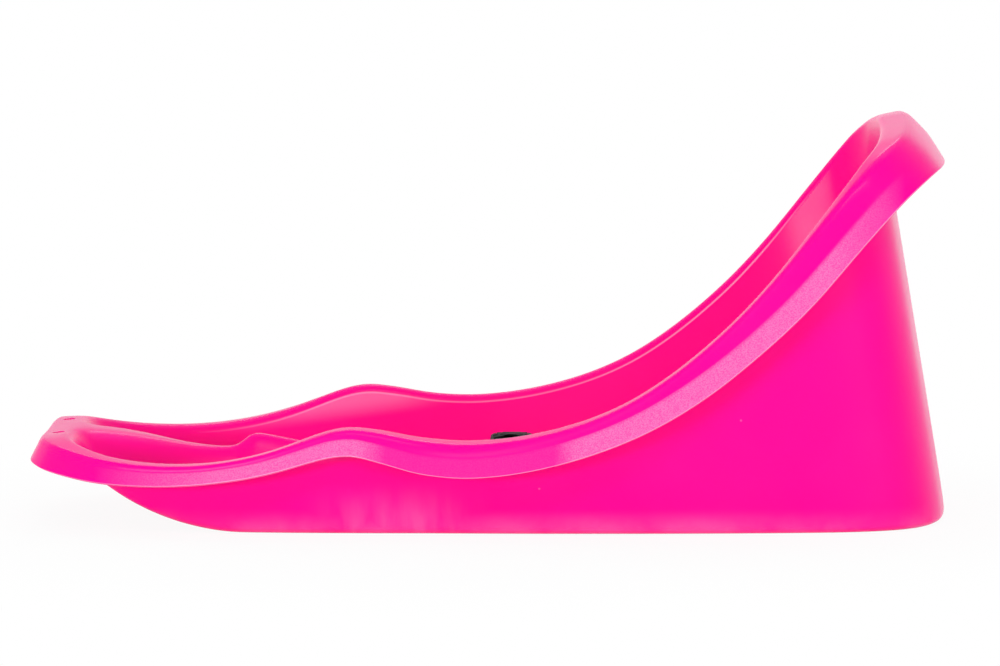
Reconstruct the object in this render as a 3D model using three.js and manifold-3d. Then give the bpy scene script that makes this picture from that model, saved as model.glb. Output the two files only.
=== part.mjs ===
// A toddler's snow sled: a tub moulded in one piece, with a high back, two foot wells
// and a leg divider, and a lap belt of webbing closed by a side-release buckle.
// Millimetres. +X runs from the nose to the back, -Y is the child's left, +Z is up.
// The origin is in the middle of the footprint, on the snow.
import * as THREE from 'three';
import { mergeVertices } from 'three/addons/utils/BufferGeometryUtils.js';
import Module from 'manifold-3d';

const wasm = await Module();
wasm.setup();

// Driving sizes of the tub
const LENGTH = 735;
const RIM_WIDTH = 406;
const HEIGHT = 322;
const WALL = 3;
const SKIRT_DEPTH = 44;
const SKIRT_FLARE = 6;
const RIM_TOP = 20;
const RIM_CROWN = 2.5;
const RIM_INNER_RADIUS = 7;
const RIM_OUTER_RADIUS = 6;
const BACK_OUTER_RADIUS = 8;
const FLOOR_RADIUS = 5;
const RAMP_LIFT = 48;

// Driving sizes of what is moulded into the floor
const DIVIDER_HEIGHT = 73;
const DIVIDER_HALF_TOP = 24;
const DIVIDER_SIDE_RUN = 20;
const SEAT_RISE = 21;
const SEAT_HALF_WIDTH = 100;
const SEAT_FRONT = -84;
const SEAT_BACK = 232;
const SEAT_CORNER = 46;
const SEAT_RUN = 20;

// Driving sizes of the lap belt and its slots
const WEBBING_WIDTH = 25;
const WEBBING_THICKNESS = 1.6;
const BELT_X = 14;
const SLOT_MARGIN = 4;
const SLOT_CLEARANCE = 2;
const BELT_ARCH = 57;
const BELT_TUCK = 5;
const FIT_GAP = 0.3;

// Driving sizes of the buckle
const BUCKLE_WIDTH = 34;
const BUCKLE_THICKNESS = 11;
const SOCKET_LENGTH = 34;
const SOCKET_WALL = 1.8;
const PLUG_BASE_LENGTH = 22;
const PRONG_LENGTH = 24;
const PRONG_WIDTH = 5;
const TONGUE_WIDTH = 7;
const BAR_WINDOW = 6;
const BUCKLE_CORNER = 5;

// Driving sizes of the holes for a pull rope
const ROPE_HOLE_DIAMETER = 10;
const ROPE_HOLE_SPREAD = 95;
const ROPE_HOLE_INSET = 13;

// One overrun serves every cut
const CUT_OVERRUN = 8;

const HALF_LENGTH = LENGTH / 2;
const HALF_RIM = RIM_WIDTH / 2;

// Stations round half the tub, from the middle of the nose to the middle of the back:
// rim x, rim y and rim z, then floor x and floor y, as shares of the half length,
// the half rim width and the height.
const stationShares = [
  [-0.985, 0.000, 0.220, -0.876, 0.000],
  [-0.985, 0.197, 0.222, -0.876, 0.177],
  [-0.981, 0.389, 0.222, -0.871, 0.345],
  [-0.946, 0.532, 0.212, -0.846, 0.453],
  [-0.884, 0.636, 0.196, -0.800, 0.522],
  [-0.797, 0.709, 0.181, -0.729, 0.571],
  [-0.688, 0.768, 0.175, -0.648, 0.611],
  [-0.580, 0.813, 0.186, -0.558, 0.640],
  [-0.471, 0.847, 0.213, -0.463, 0.665],
  [-0.381, 0.857, 0.249, -0.381, 0.680],
  [-0.313, 0.860, 0.273, -0.313, 0.690],
  [-0.239, 0.862, 0.264, -0.239, 0.700],
  [-0.144, 0.879, 0.243, -0.144, 0.709],
  [-0.035, 0.916, 0.236, -0.035, 0.724],
  [0.073, 0.948, 0.249, 0.073, 0.739],
  [0.182, 0.970, 0.278, 0.190, 0.749],
  [0.291, 0.988, 0.329, 0.313, 0.759],
  [0.400, 0.998, 0.411, 0.449, 0.764],
  [0.509, 1.000, 0.516, 0.580, 0.764],
  [0.618, 0.997, 0.645, 0.700, 0.759],
  [0.707, 0.978, 0.769, 0.798, 0.739],
  [0.786, 0.934, 0.874, 0.877, 0.690],
  [0.838, 0.867, 0.932, 0.932, 0.601],
  [0.880, 0.749, 0.967, 0.963, 0.483],
  [0.903, 0.567, 0.985, 0.977, 0.355],
  [0.913, 0.296, 0.997, 0.983, 0.177],
  [0.914, 0.000, 1.000, 0.985, 0.000],
];
const FRONT_CORNER = 3;
const BACK_CORNER = 22;

// The same stations: depth of the turned-down skirt, width of the flat top, lift of its inner
// edge and radius of its outer edge, each as a share of its driving size.
const rimShares = [
  [0.39, 1.30, 1.20, 0.00], [0.39, 1.30, 0.70, 0.00], [0.43, 1.25, 0.30, 0.00],
  [0.45, 1.15, 0.30, 0.00], [0.44, 1.05, 0.30, 0.00], [0.39, 1.00, 0.30, 0.00],
  [0.34, 1.00, 0.30, 0.00], [0.33, 1.00, 0.30, 0.00], [0.36, 1.00, 0.30, 0.00],
  [0.40, 1.00, 0.30, 0.00], [0.45, 1.00, 0.30, 0.00], [0.53, 1.00, 0.50, 0.00],
  [0.58, 1.00, 0.80, 0.00], [0.60, 1.00, 1.00, 0.00], [0.59, 1.00, 1.00, 0.05],
  [0.56, 1.00, 0.90, 0.10], [0.59, 1.00, 0.70, 0.20], [0.66, 1.00, 0.50, 0.35],
  [0.71, 0.97, 0.30, 0.50], [0.80, 0.93, 0.20, 0.65], [0.82, 0.93, -0.50, 0.80],
  [0.83, 0.98, -1.60, 0.90], [0.82, 1.05, -2.60, 1.00], [0.80, 1.15, -3.00, 1.00],
  [0.85, 1.22, -2.60, 1.00], [0.94, 1.25, -2.10, 1.00], [1.00, 1.25, -1.20, 1.00],
];

// The same stations: how far the skirt leans back from plumb, in degrees
const skirtLean = [
  -8, -8, -8, -6, -3, 0, 0, 2, 5, 8, 8, 4, 0, 0,
  4, 12, 23, 33, 40, 45, 47, 46, 45, 40, 35, 32, 32,
];

// The same stations: the crease along the skirt, as a share of its depth and as a share of
// the flare that it already has there. Along the sides only the part under it flares.
const creaseShares = [
  [0.35, 0.30], [0.35, 0.30], [0.34, 0.20], [0.33, 0.10], [0.33, 0.05], [0.33, 0.00],
  [0.34, 0.00], [0.33, 0.00], [0.33, 0.00], [0.34, 0.00], [0.35, 0.05], [0.38, 0.15],
  [0.42, 0.30], [0.42, 0.30], [0.39, 0.15], [0.36, 0.00], [0.36, 0.00], [0.40, 0.00],
  [0.48, 0.00], [0.54, 0.05], [0.57, 0.15], [0.58, 0.30], [0.57, 0.50], [0.55, 0.70],
  [0.53, 0.85], [0.52, 0.95], [0.52, 1.00],
];

// Rows of the floor from its front edge to its back edge, as shares of its length
const rowShares = [
  0, 0.030, 0.062, 0.096, 0.128, 0.150, 0.163, 0.174, 0.185, 0.200, 0.224, 0.250, 0.278,
  0.306, 0.330, 0.345, 0.358, 0.371, 0.386, 0.404, 0.425, 0.450, 0.490, 0.540, 0.600, 0.660,
  0.712, 0.748, 0.770, 0.786, 0.800, 0.813, 0.828, 0.852, 0.882, 0.912, 0.940, 0.966, 0.985, 1,
];

// Crest of the leg divider: x as a share of the half length, height and half width of its
// top as shares of its driving sizes. It dips behind the nose, steps up to the pommel and
// runs down into the seat.
const dividerShares = [
  [-0.930, 1.000, 1.00], [-0.822, 0.945, 0.90], [-0.735, 0.860, 0.72], [-0.667, 0.780, 0.48],
  [-0.604, 0.750, 0.34], [-0.570, 0.752, 0.28], [-0.552, 0.800, 0.27], [-0.536, 0.900, 0.26],
  [-0.468, 0.845, 0.26], [-0.327, 0.700, 0.28], [-0.190, 0.510, 0.34], [-0.080, 0.343, 0.40],
];
const DIVIDER_END = dividerShares.at(-1)[0] * HALF_LENGTH;

const PINK = new THREE.MeshStandardMaterial({ color: 0xff0a86, roughness: 0.34, metalness: 0 });
const WEB_BLACK = new THREE.MeshStandardMaterial({ color: 0x17151a, roughness: 0.9, metalness: 0 });
const BUCKLE_BLACK = new THREE.MeshStandardMaterial({ color: 0x1b1a1e, roughness: 0.45, metalness: 0 });

const clamp01 = (s) => Math.min(1, Math.max(0, s));
const smooth = (s) => clamp01(s) ** 2 * (3 - 2 * clamp01(s));
const mix = (a, b, s) => a + (b - a) * s;

// A smooth curve through a table whose first column rises
function lookUp(table, x, column) {
  const last = table.length - 1;
  if (x <= table[0][0]) return table[0][column];
  if (x >= table[last][0]) return table[last][column];
  const k = table.findIndex((row) => row[0] > x);
  const slopeAt = (n) => {
    const [a, b] = [table[Math.max(0, n - 1)], table[Math.min(last, n + 1)]];
    return (b[column] - a[column]) / (b[0] - a[0]);
  };
  const [a, b] = [table[k - 1], table[k]];
  const run = b[0] - a[0];
  const s = (x - a[0]) / run;
  const bend = (1 - s) * slopeAt(k - 1) - s * slopeAt(k);
  return mix(a[column], b[column], smooth(s)) + s * (1 - s) * bend * run;
}

// A smooth curve through the stations of half the tub, where s counts stations
function stationCurve(points) {
  const curve = new THREE.CatmullRomCurve3(points, false, 'centripetal');
  return (s) => curve.getPoint(clamp01(s / (points.length - 1)));
}

const rimAt = stationCurve(stationShares.map(([x, y, z]) => (
  new THREE.Vector3(x * HALF_LENGTH, y * HALF_RIM, z * HEIGHT))));
const floorAt = stationCurve(stationShares.map((row) => (
  new THREE.Vector3(row[3] * HALF_LENGTH, row[4] * HALF_RIM, 0))));
const LAST = stationShares.length - 1;

// Value of a per-station column between two stations
function between(values, s) {
  const k = Math.min(LAST - 1, Math.floor(s));
  return mix(values[k], values[k + 1], s - k);
}
const skirtDepth = rimShares.map((row) => row[0] * SKIRT_DEPTH);
const rimTop = rimShares.map((row) => row[1] * RIM_TOP);
const rimLift = rimShares.map((row) => row[2] * RIM_CROWN);
const rimRadius = rimShares.map((row) => mix(RIM_OUTER_RADIUS, BACK_OUTER_RADIUS, row[3]));
const creaseDepth = creaseShares.map((row) => row[0]);
const creaseFlare = creaseShares.map((row) => row[1] * SKIRT_FLARE);

// Outward direction in plan at station s of a half outline. Both ends lie on the middle plane.
const stationStep = 0.02;
function outward(curve, s) {
  const a = curve(Math.max(0, s - stationStep));
  const b = curve(Math.min(LAST, s + stationStep));
  if (s < stationStep) return new THREE.Vector3(-1, 0, 0);
  if (s > LAST - stationStep) return new THREE.Vector3(1, 0, 0);
  return new THREE.Vector3(-(b.y - a.y), b.x - a.x, 0).normalize();
}

// Underside of the hull: flat on the snow, then a round ramp up to the nose
const FLOOR_FRONT = floorAt(0).x;
const FLOOR_BACK = floorAt(LAST).x;
const rampStartShare = -0.528;
const RAMP_START = rampStartShare * HALF_LENGTH;
const RAMP_RUN = RAMP_START - FLOOR_FRONT;
const RAMP_RADIUS = (RAMP_RUN ** 2 + RAMP_LIFT ** 2) / (2 * RAMP_LIFT);
function hullBottom(x) {
  const run = Math.min(Math.max(0, RAMP_START - x), RAMP_RADIUS);
  return RAMP_RADIUS - Math.sqrt(RAMP_RADIUS ** 2 - run ** 2);
}

// Height of the tub's inner face over the floor: wells, leg divider and raised seat
function dividerHalf(x) {
  return lookUp(dividerShares, x / HALF_LENGTH, 2) * DIVIDER_HALF_TOP;
}

// How far a point lies inside the seat's outline, which has round corners
function seatInset(x, y) {
  const along = Math.abs(x - (SEAT_FRONT + SEAT_BACK) / 2) - (SEAT_BACK - SEAT_FRONT) / 2;
  const across = Math.abs(y) - SEAT_HALF_WIDTH;
  const beyond = [along, across].map((d) => Math.max(0, d + SEAT_CORNER));
  return SEAT_CORNER - Math.hypot(...beyond);
}
function floorHeight(x, y) {
  const base = hullBottom(x) + WALL;
  const crest = lookUp(dividerShares, x / HALF_LENGTH, 1) * DIVIDER_HEIGHT;
  const rise = Math.max(0, crest - base) * smooth((DIVIDER_END - x) / DIVIDER_SIDE_RUN);
  const flank = 1 - smooth((Math.abs(y) - dividerHalf(x)) / DIVIDER_SIDE_RUN);
  const seat = SEAT_RISE * smooth(seatInset(x, y) / SEAT_RUN);
  return base + Math.cbrt((rise * flank) ** 3 + seat ** 3);
}

// Section of the wall at station s, from the floor's edge over the rim to the skirt's hem.
// Each corner is a round of ARC_STEPS chords.
const ARC_STEPS = 3;
function roundCorner(from, corner, to) {
  const arc = new THREE.QuadraticBezierCurve3(from, corner, to);
  return arc.getPoints(ARC_STEPS).slice(1);
}
const wallShare = 0.4;
function wallSection(s, edge) {
  const rim = rimAt(s);
  const out = outward(rimAt, s);
  const inner = rim.clone().addScaledVector(out, -between(rimTop, s));
  inner.z += between(rimLift, s);
  const foot = floorAt(s);
  foot.z = edge.z;
  const rise = inner.clone().sub(foot);
  const height = rise.length();
  rise.normalize();
  const low = Math.min(FLOOR_RADIUS, height * wallShare);
  const high = Math.min(RIM_INNER_RADIUS, height * wallShare);
  const lean = THREE.MathUtils.degToRad(between(skirtLean, s));
  const depth = between(skirtDepth, s);
  const fall = new THREE.Vector3(Math.sin(lean), 0, -Math.cos(lean)).multiplyScalar(depth);
  const crease = rim.clone().addScaledVector(fall, between(creaseDepth, s));
  crease.addScaledVector(out, between(creaseFlare, s));
  const hem = rim.clone().add(fall).addScaledVector(out, SKIRT_FLARE);
  const down = crease.clone().sub(rim);
  const upperDepth = down.length();
  down.normalize();
  const across = inner.clone().sub(rim).normalize();
  const radius = Math.min(between(rimRadius, s), upperDepth * wallShare * 2);
  const top = Math.min(radius, between(rimTop, s) - high);
  return [
    ...roundCorner(edge, foot, foot.clone().addScaledVector(rise, low)),
    inner.clone().addScaledVector(rise, -high),
    ...roundCorner(inner.clone().addScaledVector(rise, -high), inner,
      inner.clone().addScaledVector(across, -high)),
    ...roundCorner(rim.clone().addScaledVector(across, top), rim,
      rim.clone().addScaledVector(down, radius)),
    crease, hem,
  ];
}

// Edge of the level floor, one floor radius inside the foot of the wall
function floorEdge(s) {
  const foot = floorAt(s);
  const height = rimAt(s).z - hullBottom(foot.x);
  const inset = Math.min(FLOOR_RADIUS, height * wallShare);
  const edge = foot.addScaledVector(outward(floorAt, s), -inset);
  edge.z = floorHeight(edge.x, edge.y);
  return edge;
}

// The station between two others where the floor's edge reaches a share of the way between
// them, along x or y
function stationWhere(axis, from, to, share) {
  const target = mix(floorEdge(from)[axis], floorEdge(to)[axis], share);
  const rising = floorEdge(to)[axis] > floorEdge(from)[axis];
  let [low, high] = [from, to];
  for (let k = 0; k < 30; k += 1) {
    const middle = (low + high) / 2;
    const short = floorEdge(middle)[axis] < target;
    if (short === rising) low = middle;
    else high = middle;
  }
  return (low + high) / 2;
}

// Lines of the floor from its middle to its side at x, as shares of the half width there.
// They follow the edges of the divider and of the seat.
const seatTopShare = 0.5;
const seatFootShare = 0.7;
function lineShares(x, halfWidth) {
  const crown = dividerHalf(x);
  const flank = crown + DIVIDER_SIDE_RUN;
  const top = Math.min(SEAT_HALF_WIDTH - SEAT_RUN, mix(flank, halfWidth, seatTopShare));
  const foot = Math.min(SEAT_HALF_WIDTH, mix(flank, halfWidth, seatFootShare));
  const halfWay = (a, b) => (a + b) / 2;
  const lines = [0, crown, halfWay(crown, flank), flank, halfWay(flank, top), top,
    halfWay(top, foot), foot, halfWay(foot, halfWidth), halfWidth];
  return lines.map((y) => y / halfWidth);
}

// Half of the floor as rows of points, from the nose to the back. The rows' ends are the
// floor's edge, and the first and last rows are its front and back edges.
function floorRows() {
  const front = floorEdge(FRONT_CORNER);
  const back = floorEdge(BACK_CORNER);
  const frontMid = floorEdge(0).x;
  const backMid = floorEdge(LAST).x;
  return rowShares.map((row) => {
    const station = stationWhere('x', FRONT_CORNER, BACK_CORNER, row);
    const side = floorEdge(station);
    const shares = lineShares(mix(frontMid, backMid, row), side.y);
    return shares.map((share) => {
      const head = floorEdge(stationWhere('y', 0, FRONT_CORNER, share));
      const tail = floorEdge(stationWhere('y', LAST, BACK_CORNER, share));
      const x = mix(head.x, tail.x, row);
      const bulge = mix(head.y - share * front.y, tail.y - share * back.y, row);
      const y = share * side.y + bulge;
      return { point: new THREE.Vector3(x, y, floorHeight(x, y)), station, share };
    });
  });
}

// A closed shell from the half floor and the wall sections round it: the upper skin, a lower
// skin one wall away along the surface normals, and a strip that joins them at the hem
const MIDDLE_SNAP = 1e-6;
const WELD_PLACES = 4;
const WELD = 1e-4;
function tubGeometry() {
  const rows = floorRows();
  const lines = rows[0].length;
  const points = [];
  const faces = [];
  const keyed = new Map();
  const add = (p, side) => {
    const y = Math.abs(p.y) < MIDDLE_SNAP ? 0 : p.y * side;
    const key = [p.x, y, p.z].map((value) => value.toFixed(WELD_PLACES)).join();
    if (!keyed.has(key)) keyed.set(key, points.push(new THREE.Vector3(p.x, y, p.z)) - 1);
    return keyed.get(key);
  };
  const quad = (a, b, c, d, side) => {
    const ring = side > 0 ? [a, b, c, d] : [a, d, c, b];
    faces.push([ring[0], ring[1], ring[2]], [ring[0], ring[2], ring[3]]);
  };
  for (const side of [1, -1]) {
    for (let i = 0; i + 1 < rows.length; i += 1) {
      for (let j = 0; j + 1 < lines; j += 1) {
        quad(add(rows[i][j].point, side), add(rows[i + 1][j].point, side),
          add(rows[i + 1][j + 1].point, side), add(rows[i][j + 1].point, side), side);
      }
    }
  }
  const frontLoop = rows[0].map(({ point, share }) => (
    { point, s: stationWhere('y', 0, FRONT_CORNER, share) }));
  frontLoop[0].s = 0;
  const sideLoop = rows.slice(1, -1).map((row) => (
    { point: row[lines - 1].point, s: row[lines - 1].station }));
  const backLoop = rows.at(-1).map(({ point, share }) => (
    { point, s: stationWhere('y', LAST, BACK_CORNER, share) })).reverse();
  backLoop.at(-1).s = LAST;
  const loop = [...frontLoop, ...sideLoop, ...backLoop];
  const sections = loop.map(({ point, s }) => [point, ...wallSection(s, point)]);
  const hems = [];
  for (const side of [1, -1]) {
    for (let i = 0; i + 1 < sections.length; i += 1) {
      for (let k = 0; k + 1 < sections[i].length; k += 1) {
        quad(add(sections[i][k], side), add(sections[i + 1][k], side),
          add(sections[i + 1][k + 1], side), add(sections[i][k + 1], side), side);
      }
      hems.push([add(sections[i].at(-1), side), add(sections[i + 1].at(-1), side), side]);
    }
  }
  const normals = points.map(() => new THREE.Vector3());
  for (const [a, b, c] of faces) {
    const ab = points[b].clone().sub(points[a]);
    const face = ab.cross(points[c].clone().sub(points[a]));
    for (const k of [a, b, c]) normals[k].add(face);
  }
  const count = points.length;
  const skins = [...points, ...points.map((p, k) => (
    p.clone().addScaledVector(normals[k].normalize(), -WALL)))];
  const under = faces.map(([a, b, c]) => [a + count, c + count, b + count]);
  const strip = hems.flatMap(([a, b, side]) => (side > 0
    ? [[a, b, b + count], [a, b + count, a + count]]
    : [[b, a, a + count], [b, a + count, b + count]]));
  return indexed(skins, [...faces, ...under, ...strip]);
}

function indexed(points, faces) {
  const geometry = new THREE.BufferGeometry();
  geometry.setAttribute('position', new THREE.Float32BufferAttribute(
    points.flatMap((p) => [p.x, p.y, p.z]), 3));
  geometry.setIndex(faces.flat());
  return geometry;
}

// Solids for cutting and joining
function solid(geometry, matrix = new THREE.Matrix4()) {
  const bare = geometry.clone().applyMatrix4(matrix);
  bare.deleteAttribute('normal');
  bare.deleteAttribute('uv');
  const merged = mergeVertices(bare, WELD);
  return new wasm.Manifold(new wasm.Mesh({
    numProp: 3,
    vertProperties: Float32Array.from(merged.attributes.position.array),
    triVerts: Uint32Array.from(merged.index.array),
  }));
}
function geometryOf(body) {
  const mesh = body.getMesh();
  const geometry = new THREE.BufferGeometry();
  geometry.setAttribute('position', new THREE.BufferAttribute(mesh.vertProperties, 3));
  geometry.setIndex(new THREE.BufferAttribute(mesh.triVerts, 1));
  return geometry;
}
const at = (x, y, z) => new THREE.Matrix4().makeTranslation(x, y, z);

// Outline with four round corners, centred on zero
function roundedOutline(width, height, radius, steps) {
  const [w, h] = [width / 2, height / 2];
  const r = Math.min(radius, w, h);
  const outline = new THREE.Shape();
  outline.moveTo(w - r, -h);
  outline.absarc(w - r, -h + r, r, -Math.PI / 2, 0);
  outline.absarc(w - r, h - r, r, 0, Math.PI / 2);
  outline.absarc(-w + r, h - r, r, Math.PI / 2, Math.PI);
  outline.absarc(-w + r, -h + r, r, Math.PI, 1.5 * Math.PI);
  outline.closePath();
  return new THREE.Shape(outline.getPoints(steps));
}
function plate(outline, depth) {
  return new THREE.ExtrudeGeometry(outline, { depth, bevelEnabled: false, steps: 1 });
}

// The tub: shell, belt slots through the raised seat and rope holes through the nose deck
const seatTop = WALL + SEAT_RISE;
const SLOT_LENGTH = WEBBING_WIDTH + SLOT_CLEARANCE;
const SLOT_WIDTH = 2 * WEBBING_THICKNESS + SLOT_CLEARANCE;
const slotY = SEAT_HALF_WIDTH - SEAT_RUN - SLOT_MARGIN;
function tub() {
  let body = solid(tubGeometry());
  const slotDepth = WALL + 2 * CUT_OVERRUN;
  const slot = plate(roundedOutline(SLOT_LENGTH, SLOT_WIDTH, SLOT_WIDTH / 2, 4), slotDepth);
  const hole = new THREE.CylinderGeometry(
    ROPE_HOLE_DIAMETER / 2, ROPE_HOLE_DIAMETER / 2, HEIGHT, 20).rotateX(Math.PI / 2);
  for (const side of [-1, 1]) {
    body = body.subtract(solid(slot, at(
      BELT_X, side * slotY, seatTop - WALL - CUT_OVERRUN)));
    body = body.subtract(solid(hole, at(
      rimAt(0).x + ROPE_HOLE_INSET, side * ROPE_HOLE_SPREAD / 2, HEIGHT / 2)));
  }
  return geometryOf(body);
}

// A flat strap: its middle line in the belt's plane, swept across the webbing's width
function strap(route) {
  const middle = new THREE.CatmullRomCurve3(
    route.map(([y, z]) => new THREE.Vector3(0, y, z)), false, 'centripetal');
  const steps = 6 * (route.length - 1);
  const half = WEBBING_THICKNESS / 2;
  const outline = [[], []];
  for (let k = 0; k <= steps; k += 1) {
    const p = middle.getPoint(k / steps);
    const t = middle.getTangent(k / steps);
    outline[0].push(new THREE.Vector2(p.y - t.z * half, p.z + t.y * half));
    outline[1].push(new THREE.Vector2(p.y + t.z * half, p.z - t.y * half));
  }
  const shape = new THREE.Shape([...outline[0], ...outline[1].reverse()]);
  const flat = plate(shape, WEBBING_WIDTH);
  const turn = new THREE.Matrix4().makeBasis(
    new THREE.Vector3(0, 1, 0), new THREE.Vector3(0, 0, 1), new THREE.Vector3(1, 0, 0));
  return flat.applyMatrix4(turn).translate(BELT_X - WEBBING_WIDTH / 2, 0, 0);
}

// Places along the belt: the plug meets the socket at y = 0, and each end of the webbing is
// tucked into its half of the buckle
const socketEndY = SOCKET_LENGTH;
const plugEndY = -PLUG_BASE_LENGTH - FIT_GAP;
const underZ = seatTop - WALL - SLOT_CLEARANCE - WEBBING_THICKNESS / 2;
const bendIn = 2 * SLOT_CLEARANCE;
const bendDown = SLOT_CLEARANCE;
const bendShare = 0.3;
const archShare = 0.55;
const fallShare = 0.12;
const nearShare = 0.45;
const farShare = 0.82;
const ARCH_SHOULDER = mix(seatTop, BELT_ARCH, archShare);
const ARCH_FALL = mix(BELT_ARCH, seatTop, fallShare);

// The webbing from the socket down through the right slot, under the seat and up through
// the left slot
function fixedRoute() {
  return [
    [socketEndY - BELT_TUCK + FIT_GAP, BELT_ARCH],
    [socketEndY, BELT_ARCH],
    [socketEndY + FIT_GAP, BELT_ARCH],
    [mix(socketEndY, slotY, nearShare), ARCH_FALL],
    [mix(socketEndY, slotY, farShare), ARCH_SHOULDER],
    [slotY, seatTop],
    [slotY, seatTop - WALL],
    [slotY - bendIn * bendShare, seatTop - WALL - bendDown],
    [slotY - bendIn, underZ],
    [0, underZ],
    [bendIn - slotY, underZ],
    [bendIn * bendShare - slotY, seatTop - WALL - bendDown],
    [-slotY, seatTop - WALL],
    [-slotY, seatTop - WALL / 2],
    [-slotY, seatTop],
  ];
}
function plugRoute() {
  return [
    [-slotY, seatTop + FIT_GAP],
    [-slotY, seatTop + FIT_GAP + WALL / 2],
    [-slotY, seatTop + FIT_GAP + WALL],
    [mix(plugEndY, -slotY, farShare), ARCH_SHOULDER],
    [mix(plugEndY, -slotY, nearShare), ARCH_FALL],
    [plugEndY - FIT_GAP, BELT_ARCH],
    [plugEndY, BELT_ARCH],
    [plugEndY + BELT_TUCK - FIT_GAP, BELT_ARCH],
  ];
}

// Draws an outline given as x, y about the belt's line and lifts it to the arch
function beltPlate(outline, thickness) {
  return plate(outline, thickness).translate(BELT_X, 0, BELT_ARCH - thickness / 2);
}
// The flat pocket that takes one end of the webbing
function beltPocket(y) {
  return new THREE.BoxGeometry(
    WEBBING_WIDTH + 2 * FIT_GAP, 2 * BELT_TUCK, WEBBING_THICKNESS + 2 * FIT_GAP)
    .translate(BELT_X, y, BELT_ARCH);
}

// The socket: a flat sleeve with side windows for the prongs and a pocket for the webbing
const windowShare = 0.6;
function socket() {
  const outline = roundedOutline(BUCKLE_WIDTH, SOCKET_LENGTH, BUCKLE_CORNER, 4);
  let body = solid(beltPlate(outline, BUCKLE_THICKNESS).translate(0, SOCKET_LENGTH / 2, 0));
  const cavityLength = PRONG_LENGTH + FIT_GAP + CUT_OVERRUN;
  const cavity = roundedOutline(
    BUCKLE_WIDTH - 2 * SOCKET_WALL, cavityLength, SOCKET_WALL, 3);
  body = body.subtract(solid(beltPlate(cavity, BUCKLE_THICKNESS - 2 * SOCKET_WALL)
    .translate(0, cavityLength / 2 - CUT_OVERRUN, 0)));
  const window = roundedOutline(
    BUCKLE_WIDTH + CUT_OVERRUN, PRONG_LENGTH / 2, SOCKET_WALL, 3);
  body = body.subtract(solid(beltPlate(window, BUCKLE_THICKNESS - 2 * SOCKET_WALL)
    .translate(0, PRONG_LENGTH * windowShare, 0)));
  return geometryOf(body.subtract(solid(beltPocket(socketEndY))));
}

// The plug: a base with the adjusting bar, two side prongs and a guide tongue
const barWindowShares = [0.32, 0.74];
function plug() {
  const thickness = BUCKLE_THICKNESS - 2 * SOCKET_WALL - 2 * FIT_GAP;
  const base = roundedOutline(BUCKLE_WIDTH, PLUG_BASE_LENGTH, BUCKLE_CORNER, 4);
  let body = solid(beltPlate(base, BUCKLE_THICKNESS)
    .translate(0, -PLUG_BASE_LENGTH / 2 - FIT_GAP, 0));
  const slotCut = roundedOutline(WEBBING_WIDTH + SLOT_CLEARANCE, BAR_WINDOW, SOCKET_WALL, 3);
  for (const share of barWindowShares) {
    body = body.subtract(solid(beltPlate(slotCut, BUCKLE_THICKNESS + CUT_OVERRUN)
      .translate(0, -PLUG_BASE_LENGTH * share - FIT_GAP, 0)));
  }
  body = body.subtract(solid(beltPocket(plugEndY)));
  const reach = PRONG_LENGTH + FIT_GAP;
  const prong = roundedOutline(PRONG_WIDTH, reach, PRONG_WIDTH / 2, 4);
  const inside = BUCKLE_WIDTH / 2 - SOCKET_WALL - FIT_GAP - PRONG_WIDTH / 2;
  for (const side of [-1, 1]) {
    body = body.add(solid(beltPlate(prong, thickness)
      .translate(side * inside, reach / 2 - 2 * FIT_GAP, 0)));
  }
  const tongue = roundedOutline(TONGUE_WIDTH, reach, TONGUE_WIDTH / 2, 4);
  body = body.add(solid(beltPlate(tongue, thickness).translate(0, reach / 2 - 2 * FIT_GAP, 0)));
  return geometryOf(body);
}

const sled = new THREE.Group();
function piece(name, geometry, material) {
  const mesh = new THREE.Mesh(geometry, material);
  mesh.name = name;
  sled.add(mesh);
}
piece('tub_shell', tub(), PINK);
piece('belt_webbing', strap(fixedRoute()), WEB_BLACK);
piece('belt_adjusting_end', strap(plugRoute()), WEB_BLACK);
piece('buckle_socket', socket(), BUCKLE_BLACK);
piece('buckle_plug', plug(), BUCKLE_BLACK);

// The middle of the footprint is brought to the origin
const middleX = new THREE.Box3().setFromObject(sled).getCenter(new THREE.Vector3()).x;
for (const mesh of sled.children) mesh.geometry.translate(-middleX, 0, 0);

export default sled;
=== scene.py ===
# A toddler's snow sled, seen from its left side on a white studio floor: a tub moulded in
# one piece of pink polyethylene and a lap belt of black webbing with a side-release buckle.
import math

import bmesh
import bpy
from mathutils import Matrix, Vector
import numpy as np


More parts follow.
